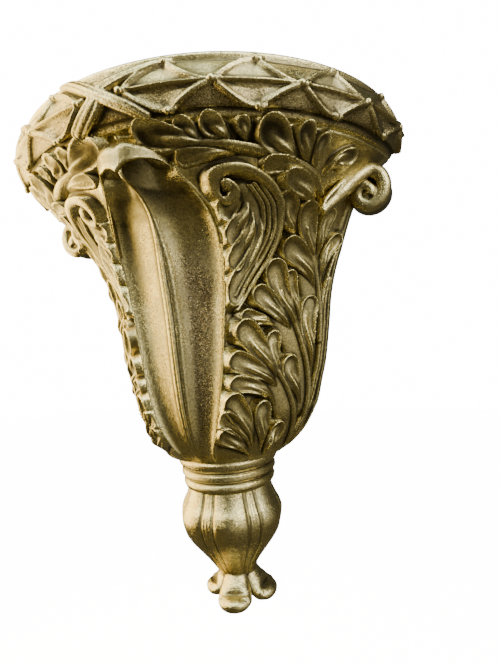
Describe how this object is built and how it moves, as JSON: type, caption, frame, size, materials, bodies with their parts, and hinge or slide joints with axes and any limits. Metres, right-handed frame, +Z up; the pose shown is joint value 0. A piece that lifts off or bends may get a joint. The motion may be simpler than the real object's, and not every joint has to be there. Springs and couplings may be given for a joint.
{
  "type": "wall console bracket",
  "caption": "Half-round wall shelf on a bell-shaped bracket with flutes, acanthus sides, a ringed neck and a petalled finial, cast in one and painted gold.",
  "frame": {"origin": "on the flat wall face, on the centreline, level with the middle of the shelf's rim", "axes": "+Z up, +Y into the wall, -Y is the front, +X to the viewer's right"},
  "size_m": [0.2402, 0.1107, 0.284],
  "materials": {
    "gold_paint": "satin metallic gold paint over a cast body, grainy in places, darker in the hollows"
  },
  "bodies": {
    "root": {"bracket": "gold_paint"}
  },
  "joints": []
}
